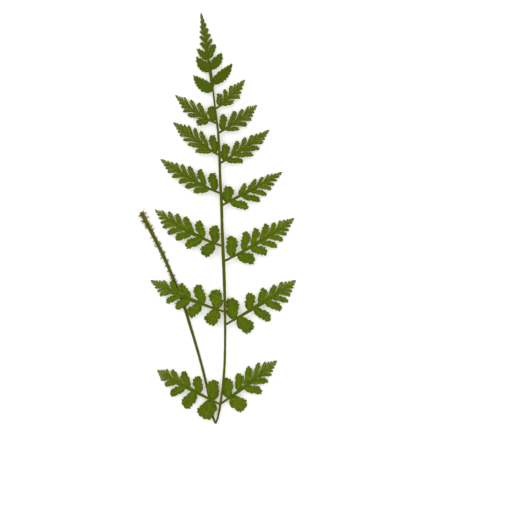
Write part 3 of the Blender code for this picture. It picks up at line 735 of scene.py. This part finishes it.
def solid_blade(name, blade, line, mat, seed, side=0):
    """The finished pinna: a thin closed leaf with relief, and its midrib as a slim rod.

    side is -1 for a pinna on the left, 1 on the right and 0 for the frond's tip, whose line is None.
    """
    rng = np.random.default_rng(seed)
    shapes = blade.shapes
    if side:
        shapes = [clear_of_strand(ring, side) for ring in shapes]
    flat = flat_mesh(shapes, blade.slits, blade.veins, rng)
    flat.verts.index_update()
    points = np.array([(v.co.x, v.co.y) for v in flat.verts])
    rim = np.array([any(len(e.link_faces) == 1 for e in v.link_edges) for v in flat.verts])
    depth = gaps(tree_of(points[rim]), points)
    lift, owner = dome(blade.lobes, points)
    vein = vein_strength(blade.veins, points)
    vein[rim] = 0.0
    spine_gap = np.min([nearest(rod, points)[1] for rod in blade.lines], axis=0)
    lift *= smoothstep(spine_gap, 0.3, 2.2)
    seam = seam_strength(blade.margins, points, depth)
    z = blade_height(line, points) + lift - SEAM_DEPTH * seam
    x, y = points[:, 0], points[:, 1]
    ripple = RIPPLE * np.sin(1.9 * x + 0.7 * y) * np.sin(1.3 * y - 0.8 * x)
    z += ripple * smoothstep(depth, 0.0, 1.0)
    inner = smoothstep(depth, 0.0, RIM_WIDTH)
    half = 0.5 * (RIM + (BLADE - RIM) * inner)
    # The veins are sunk into the upper face and stand out from the lower one
    top = np.column_stack([points, z + half - VEIN_SUNK * vein])
    bottom = np.column_stack([points, z - half - VEIN_RAISED * vein])
    count = len(points)
    flat.verts.ensure_lookup_table()
    faces = []
    walls = []
    for face in flat.faces:
        loop = [v.index for v in face.verts]
        if face.normal.z < 0:
            loop.reverse()
        faces += [loop, [i + count for i in reversed(loop)]]
        for a, b in zip(loop, loop[1:] + loop[:1]):
            if len(flat.edges.get((flat.verts[a], flat.verts[b])).link_faces) == 1:
                walls.append([a, a + count, b + count, b])
    faces += walls
    flat.free()
    # One random tint for each leaflet, and one more for what belongs to none of them
    tints = rng.uniform(0.0, 1.0, len(blade.lobes) + 1)
    attributes = {
        "vein": np.tile(vein, 2),
        "inner": np.tile(inner, 2),
        "under": np.repeat((0.0, 1.0), count),
        "tint": np.tile(tints[owner], 2),
        "stem": np.zeros(2 * count),
        "seam": np.tile(seam, 2),
    }
    verts = np.vstack([top, bottom])
    for rod in blade.lines:
        verts, faces, attributes = add_rod(verts, faces, attributes, rod, line)
    return make_object(name, verts, faces, attributes, mat)


def add_rod(verts, faces, attributes, rod, line):
    """The midrib stands a little proud of the blade on both sides and thins towards the apex."""
    length = np.linalg.norm(rod[-1] - rod[0])
    big = min(length / 55.0, 1.0)
    t = np.linspace(0.0, 0.90, max(int(length / 0.9), 8))
    path = along(rod, t)
    z = blade_height(line, path) + 0.06
    radius = (0.28 + 0.30 * big) * (1.0 - t / 0.97) ** 0.70 + 0.09
    rings, quads = tube(np.column_stack([path, z]), radius, ROD_SIDES, ROD_FURROW)
    start = len(verts)
    verts = np.vstack([verts, rings])
    faces = faces + [[i + start for i in q] for q in quads]
    fill = {"vein": 0.0, "inner": 1.0, "under": 0.0, "tint": 0.5, "stem": 1.0, "seam": 0.0}
    below = np.sin(ring_angles(len(path), ROD_SIDES)) < -0.1
    for key in attributes:
        values = np.full(len(rings), fill[key])
        if key == "under":
            values[:len(below)] = below
        attributes[key] = np.concatenate([attributes[key], values])
    return verts, faces, attributes


def ring_angles(rings, sides):
    """Angle of each corner round the rod, anticlockwise from its right side, for all its rings."""
    return np.tile(2 * math.pi * np.arange(sides) / sides, rings)


def from_top(angle):
    """How far an angle round the rod is from its upper side."""
    return np.abs(np.angle(np.exp(1j * (angle - math.pi / 2))))


def tube(path, radius, sides, groove, ribs=0.0):
    """A closed round rod swept along a path, with a groove along its upper side."""
    count = len(path)
    ahead = unit(np.gradient(path, axis=0))
    across = unit(np.cross(ahead, UP))
    up = np.cross(across, ahead)
    angle = ring_angles(1, sides)
    away = from_top(angle)
    # The groove has a raised shoulder on each side
    shape = 1.0 - groove * np.exp(-(away / 0.40) ** 2) + 0.25 * groove * np.exp(-((away - 0.85) / 0.30) ** 2)
    shape = shape + ribs * np.cos(7 * angle)
    rings = (
        path[:, None, :]
        + across[:, None, :] * (np.cos(angle) * shape)[None, :, None] * radius[:, None, None]
        + up[:, None, :] * (np.sin(angle) * shape)[None, :, None] * radius[:, None, None]
    ).reshape(-1, 3)
    faces = []
    for a in range(0, (count - 1) * sides, sides):
        b = a + sides
        for k in range(sides):
            j = (k + 1) % sides
            faces.append([a + k, a + j, b + j, b + k])
    # The two ends fan out from a centre point
    rings = np.vstack([rings, path[:1], path[-1:]])
    first, last = count * sides, count * sides + 1
    for k in range(sides):
        j = (k + 1) % sides
        faces.append([first, j, k])
        faces.append([last, (count - 1) * sides + k, (count - 1) * sides + j])
    return rings, faces


def clear_of_strand(ring, side):
    """An outline stops just inside the edge of the stalk, on its own side of it."""
    centre, radius = strand(ring[:, 1])
    keep = np.minimum if side < 0 else np.maximum
    return np.stack([keep(ring[:, 0], centre + side * radius * 0.6), ring[:, 1]], 1)


def smooth_path(stations, step):
    """Catmull-Rom curve through the stations, at an even step; the radius, a fourth column, goes along."""
    p = np.array(stations, float)
    p = np.vstack([2 * p[0] - p[1], p, 2 * p[-1] - p[-2]])
    out = []
    for i in range(1, len(p) - 2):
        a, b, c, d = p[i - 1], p[i], p[i + 1], p[i + 2]
        la = max(np.linalg.norm((b - a)[:2]), 1e-6)
        lb = max(np.linalg.norm((c - b)[:2]), 1e-6)
        lc = max(np.linalg.norm((d - c)[:2]), 1e-6)
        m1 = ((b - a) / la * lb + (c - b) / lb * la) / (la + lb) * lb
        m2 = ((c - b) / lb * lc + (d - c) / lc * lb) / (lb + lc) * lb
        count = max(int(lb / step), 3)
        u = np.linspace(0.0, 1.0, count, endpoint=False)[:, None]
        out.append(
            (2 * u ** 3 - 3 * u ** 2 + 1) * b + (u ** 3 - 2 * u ** 2 + u) * m1
            + (3 * u ** 2 - 2 * u ** 3) * c + (u ** 3 - u ** 2) * m2
        )
    out.append(p[-2:-1])
    return np.vstack(out)


# -------- materials

class Material:
    """A Principled material, with short names for the nodes that colour it."""

    def __init__(self, name):
        self.mat = bpy.data.materials.new(name)
        self.mat.use_nodes = True
        self.nodes = self.mat.node_tree.nodes
        self.links = self.mat.node_tree.links
        self.shader = self.nodes["Principled BSDF"]

    def feed(self, socket, value):
        """Links another node's output to the socket, or sets a colour or a number on it."""
        if hasattr(value, "is_linked"):
            self.links.new(value, socket)
        elif isinstance(value, tuple):
            socket.default_value = (*value, 1.0)
        else:
            socket.default_value = value

    def set(self, name, value):
        self.feed(self.shader.inputs[name], value)

    def node(self, kind, **inputs):
        made = self.nodes.new("ShaderNode" + kind)
        for name, value in inputs.items():
            self.feed(made.inputs[name], value)
        return made

    def attribute(self, name):
        made = self.node("Attribute")
        made.attribute_name = name
        return made.outputs["Fac"]

    def coordinates(self):
        return self.node("TexCoord").outputs["Object"]

    def noise(self, scale, detail=3.0, roughness=0.55):
        form = {"Scale": scale, "Detail": detail, "Roughness": roughness}
        return self.node("TexNoise", Vector=self.coordinates(), **form).outputs["Fac"]

    def remap(self, value, low, high, to_low=0.0, to_high=1.0):
        limits = {"From Min": low, "From Max": high, "To Min": to_low, "To Max": to_high}
        return self.node("MapRange", Value=value, **limits).outputs["Result"]

    def times(self, a, b):
        made = self.node("Math")
        made.operation = "MULTIPLY"
        self.feed(made.inputs[0], a)
        self.feed(made.inputs[1], b)
        return made.outputs["Value"]

    def blend(self, factor, a, b):
        """Colour a where the factor is 0, colour b where it is 1."""
        made = self.node("Mix")
        made.data_type = "RGBA"
        for name, value in (("Factor", factor), ("A", a), ("B", b)):
            self.feed(made.inputs[name], value)
        return made.outputs["Result"]

    def bump(self, height, distance, strength):
        made = self.node("Bump", Distance=distance, Strength=strength, Height=height)
        self.set("Normal", made.outputs["Normal"])


def srgb(r, g, b):
    """Linear colour of an 8-bit one."""
    return tuple(((c / 255 + 0.055) / 1.055) ** 2.4 if c > 10 else c / 255 / 12.92 for c in (r, g, b))


LEAF_GREEN = srgb(79, 97, 2)
LEAF_DEEP = srgb(62, 80, 0)
LEAF_BRIGHT = srgb(98, 114, 8)
LEAF_FRESH = srgb(66, 104, 4)
LEAF_RIM = srgb(78, 82, 4)
RIM_WARM = srgb(140, 124, 40)
VEIN_UPPER = srgb(112, 124, 26)
# Painted highlight along the seams, where a leaflet's margin lies over its neighbour
SEAM_PAINTED_HIGHLIGHT = srgb(146, 154, 76)
UNDER_GREEN = srgb(112, 126, 44)
UNDER_DEEP = srgb(92, 106, 30)
UNDER_VEIN = srgb(156, 152, 88)
UNDER_RIM = srgb(128, 96, 40)
STEM_UPPER = srgb(84, 99, 6)
STEM_UNDER = srgb(130, 106, 48)
RACHIS_UPPER = srgb(86, 98, 2)
# Painted shade for the groove along the top of the stalks
GROOVE_PAINTED_SHADE = srgb(74, 78, 0)
RACHIS_SIDE = srgb(104, 112, 18)
RACHIS_UNDER = srgb(136, 116, 52)
STIPE_UPPER = srgb(74, 86, 0)
STIPE_BASE = srgb(90, 90, 12)
STIPE_UNDER = srgb(112, 78, 28)
STIPE_CUT = srgb(150, 140, 84)
SCALE_DARK = srgb(106, 94, 22)
SCALE_PALE = srgb(150, 130, 58)
SCALE_ROOT = srgb(96, 84, 20)


def leaf_material():
    """Blade: patchy greens, darker towards the tip, with pale veins, a painted highlight along the seams and
    a browner margin.
    """
    m = Material("leaf_blade")
    vein, inner, under = map(m.attribute, ("vein", "inner", "under"))
    tint, stem, seam = map(m.attribute, ("tint", "stem", "seam"))
    split = m.node("SeparateXYZ", Vector=m.coordinates())
    towards_tip = split.outputs["Y"]
    fine = m.remap(m.noise(900.0, 4.0, 0.65), 0.30, 0.70)
    # Upper side
    older = m.remap(towards_tip, -0.10, 0.12)
    broad = m.times(m.remap(m.noise(70.0, 2.0), 0.36, 0.64), m.remap(older, 0.0, 1.0, 1.0, 0.45))
    upper = m.blend(broad, LEAF_DEEP, LEAF_GREEN)
    mottle = m.remap(m.noise(430.0, 3.0, 0.6), 0.38, 0.62)
    upper = m.blend(m.times(m.remap(tint, 0.0, 1.0, 0.35, 1.0), mottle), upper, LEAF_BRIGHT)
    fresh = m.remap(m.noise(240.0, 3.0), 0.46, 0.66, 0.0, 0.65)
    upper = m.blend(m.times(fresh, inner), upper, LEAF_FRESH)
    upper = m.blend(m.remap(towards_tip, -0.02, 0.07, 0.0, 0.60), upper, LEAF_DEEP)
    upper = m.blend(m.times(vein, 0.75), upper, VEIN_UPPER)
    # Painted highlight: a pale line along each seam where leaflets overlap
    upper = m.blend(m.times(seam, 0.45), upper, SEAM_PAINTED_HIGHLIGHT)
    worn = m.remap(m.noise(160.0, 2.0), 0.44, 0.60)
    upper = m.blend(m.remap(inner, 0.0, 0.60, 0.75, 0.0), upper, m.blend(worn, LEAF_RIM, RIM_WARM))
    # Underside
    lower = m.blend(fine, UNDER_DEEP, UNDER_GREEN)
    lower = m.blend(m.times(vein, 0.9), lower, UNDER_VEIN)
    lower = m.blend(m.remap(inner, 0.0, 0.6, 0.85, 0.0), lower, UNDER_RIM)
    # Midrib
    rod = m.blend(under, STEM_UPPER, STEM_UNDER)
    rod = m.blend(m.remap(fine, 0.0, 1.0, 0.0, 0.35), rod, LEAF_DEEP)
    m.set("Base Color", m.blend(stem, m.blend(under, upper, lower), rod))
    m.set("Roughness", m.remap(fine, 0.0, 1.0, 0.52, 0.68))
    m.set("Specular IOR Level", 0.06)
    m.bump(m.noise(1500.0, 4.0, 0.6), distance=0.00010, strength=0.55)
    return m.mat


def stalk_material(name, top, groove, side, below, base):
    """Stalk: painted shade in the groove on the upper side, streaked flanks, browner below and towards the
    cut end.
    """
    m = Material(name)
    round_, place, under, cut = map(m.attribute, ("round", "place", "under", "cut"))
    # Streaks that run along the stalk: the pattern changes quickly round it and slowly along it
    streak_place = m.node("CombineXYZ", X=m.times(round_, 6.0), Y=m.times(place, 0.06)).outputs["Vector"]
    streak = m.node("TexNoise", Vector=streak_place, Scale=2.4, Detail=4.0).outputs["Fac"]
    streaks = m.remap(streak, 0.34, 0.66)
    # Painted shade: darkest in the groove on top, fading out down the flanks
    upper = m.blend(m.remap(round_, 0.0, 0.42, 1.0, 0.0), m.blend(streaks, top, side), groove)
    colour = m.blend(under, upper, m.blend(streaks, below, side))
    colour = m.blend(m.remap(place, 50.0, 4.0, 0.0, 0.70), colour, base)
    specks = m.remap(m.remap(m.noise(1100.0, 3.0), 0.3, 0.7), 0.62, 0.85, 0.0, 0.35)
    colour = m.blend(specks, colour, base)
    m.set("Base Color", m.blend(cut, colour, STIPE_CUT))
    m.set("Roughness", m.remap(streaks, 0.0, 1.0, 0.42, 0.58))
    m.set("Specular IOR Level", 0.09)
    m.bump(streak, distance=0.00015, strength=0.6)
    return m.mat


def scale_material():
    """Papery scales: each its own shade of brown, darkest at the root."""
    m = Material("papery_scale")
    tint, place = map(m.attribute, ("tint", "place"))
    colour = m.blend(tint, SCALE_DARK, SCALE_PALE)
    m.set("Base Color", m.blend(m.remap(place, 0.0, 0.4, 0.7, 0.0), colour, SCALE_ROOT))
    m.set("Roughness", 0.6)
    return m.mat


def floor_material():
    m = Material("floor")
    m.set("Base Color", (0.93, 0.93, 0.93))
    m.set("Roughness", 0.9)
    m.set("Specular IOR Level", 0.0)
    m.set("Emission Color", (1.0, 1.0, 1.0))
    m.set("Emission Strength", 0.22)
    return m.mat


# -------- stalks

def stalk(name, stations, groove, mat, from_end):
    """A stalk through its stations, with the attributes its material reads; also its path and run."""
    path = smooth_path(stations, step=1.1)
    run = np.concatenate([[0.0], np.cumsum(np.linalg.norm(np.diff(path[:, :3], axis=0), axis=1))])
    wobble = 1.0 + 0.03 * np.sin(run * 0.9) + 0.025 * np.sin(run * 0.37 + 1.0)
    rings, faces = tube(path[:, :3], path[:, 3] * wobble, STALK_SIDES, groove, STALK_RIBS)
    away = from_top(ring_angles(len(path), STALK_SIDES)) / math.pi
    place = np.repeat(run, STALK_SIDES) + from_end
    # The last two values of each are those of the end faces' centres; the cut end is the first of them
    ends = [0.5, 0.5]
    attributes = {
        "round": np.concatenate([away, ends]),
        "place": np.concatenate([place, [place[0], place[-1]]]),
        "under": np.concatenate([smoothstep(away, 0.50, 0.70), ends]),
        "cut": np.concatenate([np.zeros(len(away)), [1.0, 0.0]]),
    }
    return make_object(name, rings, faces, attributes, mat), path, run


def scales(path, run, mat):
    """Small papery scales that stand off the lower stalk, thickest near its cut end."""
    draw = random.Random(SCALE_SEED)
    verts, faces, tint, place = [], [], [], []
    for k in range(SCALE_COUNT):
        where = 0.8 + SCALE_REACH * draw.random() ** 1.5
        point = np.array([np.interp(where, run, path[:, i]) for i in range(4)])
        ahead = np.array([np.interp(where + 1.0, run, path[:, i]) for i in range(3)]) - point[:3]
        ahead /= np.linalg.norm(ahead)
        across = np.cross(ahead, UP)
        across /= np.linalg.norm(across)
        up = np.cross(across, ahead)
        # Most stand off to the left or right, every sixth one upwards
        around = draw.choice((0.0, math.pi)) if k % 6 else math.pi / 2
        turn = around + draw.uniform(-0.45, 0.65) * (1 if around < 1 else -1)
        out = across * math.cos(turn) + up * math.sin(turn)
        heading = out + ahead * draw.uniform(-1.3, 0.7)
        heading /= np.linalg.norm(heading)
        flat = np.cross(heading, UP)
        flat /= max(np.linalg.norm(flat), 1e-6)
        normal = np.cross(flat, heading)
        size = draw.uniform(1.8, 3.5) * (1.0 - 0.35 * where / SCALE_REACH)
        wide = draw.uniform(0.18, 0.30)
        root = point[:3] + out * point[3] * 0.85
        start = len(verts)
        curl = draw.uniform(-0.25, 0.35)
        bend = draw.uniform(-0.35, 0.35)
        shade = draw.random()
        for u, half in SCALE_FORM:
            centre = root + heading * size * u + normal * size * curl * u * u + flat * size * bend * u * u
            centre[2] = max(centre[2], LOWEST_SCALE)
            for sign in (-1, 1):
                for face in (-1, 1):
                    verts.append(centre + flat * wide * half * sign + normal * SCALE_HALF_THICKNESS * face)
                    tint.append(shade)
                    place.append(u)
        last = len(verts) - 4
        for a in range(start, last, 4):
            for p, q in ((0, 1), (1, 3), (3, 2), (2, 0)):
                faces.append([a + p, a + q, a + 4 + q, a + 4 + p])
        faces.append([start + 2, start + 3, start + 1, start])
        faces.append([last, last + 1, last + 3, last + 2])
    return make_object("stipe_scales", verts, faces, {"tint": tint, "place": place}, mat)


# -------- the frond

leaf = leaf_material()
for number, (node, spec) in enumerate(PINNAE.items()):
    blade = Blade()
    midrib = blade.add(spec)
    side = -1 if "left" in node else 1
    piece = solid_blade("leaf_" + node, blade, midrib, leaf, seed=100 + number, side=side)
    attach(piece, "root")
    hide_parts(node)

blade = Blade()
for spec in FROND_TIP.values():
    blade.add(spec)
tip_stalk = np.array(TIP_STALK, float)
half = (TIP_STALK_HALF_WIDTH, 0.0)
blade.shapes.append(resample(np.vstack([tip_stalk + half, (tip_stalk - half)[::-1]]), TIP_STALK_STEP))
blade.lines.append(tip_stalk)
piece = solid_blade("leaf_frond_tip", blade, None, leaf, seed=200)
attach(piece, "root")
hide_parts("frond_tip")

# The rachis runs on over the foot of the tip and thins out there
rachis_plan = RACHIS + [(x, y, r) for (x, y), r in zip(TIP_STALK[1:], (0.52, 0.32))]
rachis_stations = [(x, y, float(rachis_height(y)), r) for x, y, r in rachis_plan]
rachis_mat = stalk_material(
    "rachis_skin", RACHIS_UPPER, GROOVE_PAINTED_SHADE, RACHIS_SIDE, RACHIS_UNDER, STIPE_UPPER)
rachis = stalk("stalk_rachis", rachis_stations, RACHIS_FURROW, rachis_mat, RACHIS_FROM_END)[0]
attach(rachis, "root")
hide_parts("rachis")

# The stipe ends inside the foot of the rachis
stipe_stations = STIPE + [(RACHIS[0][0] + 0.2, RACHIS[0][1] + 1.2, float(rachis_height(15.2)), 0.8)]
stipe_mat = stalk_material("stipe_skin", STIPE_UPPER, GROOVE_PAINTED_SHADE, RACHIS_UPPER, STIPE_UNDER, STIPE_BASE)
stipe, stipe_path, stipe_run = stalk("stalk_stipe", stipe_stations, STIPE_FURROW, stipe_mat, 0.0)
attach(stipe, "root")
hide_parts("stipe")

ramenta = scales(stipe_path, stipe_run, scale_material())
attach(ramenta, "root")

# -------- floor, light, camera (metres)

FLOOR = 6.0
corners = [(-FLOOR, -FLOOR, 0), (FLOOR, -FLOOR, 0), (FLOOR, FLOOR, 0), (-FLOOR, FLOOR, 0)]
floor_mesh = bpy.data.meshes.new("floor")
floor_mesh.from_pydata(corners, [], [(0, 1, 2, 3)])
floor_mesh.materials.append(floor_material())
floor = bpy.data.objects.new("floor", floor_mesh)
bpy.context.collection.objects.link(floor)

scene = bpy.context.scene
scene.view_settings.view_transform = "Standard"
world = bpy.data.worlds.new("studio")
scene.world = world
world.use_nodes = True
background = world.node_tree.nodes["Background"]
background.inputs["Color"].default_value = (1.0, 1.0, 1.0, 1.0)
background.inputs["Strength"].default_value = 0.92


def soft_light(name, where, size, power):
    """A square lamp that faces the frond."""
    data = bpy.data.lights.new(name, "AREA")
    data.size = size
    data.energy = power
    lamp = bpy.data.objects.new(name, data)
    bpy.context.collection.objects.link(lamp)
    lamp.location = where
    lamp.rotation_euler = (-Vector(where)).to_track_quat("-Z", "Y").to_euler()


soft_light("key", (-0.9, 1.0, 1.6), size=0.9, power=7.0)
soft_light("fill", (1.1, -0.6, 1.5), size=1.2, power=2.0)

# The camera looks straight down. The picture is 362 mm wide at the blade, and its middle, in the design's
# millimetres, lies to the right of the frond's and below it.
VIEW_WIDTH = 0.3625
VIEW_X = 27.1
VIEW_Y = 119.0
CAMERA_HEIGHT = 2.4
BLADE_HEIGHT = 0.003
SENSOR = 36.0
camera_data = bpy.data.cameras.new("camera")
camera_data.sensor_width = SENSOR
camera_data.lens = SENSOR * (CAMERA_HEIGHT - BLADE_HEIGHT) / VIEW_WIDTH
camera_data.clip_end = 50.0
camera = bpy.data.objects.new("camera", camera_data)
bpy.context.collection.objects.link(camera)
camera.location = ((VIEW_X + SHIFT[0]) * MM, (VIEW_Y + SHIFT[1]) * MM, CAMERA_HEIGHT)
scene.camera = camera
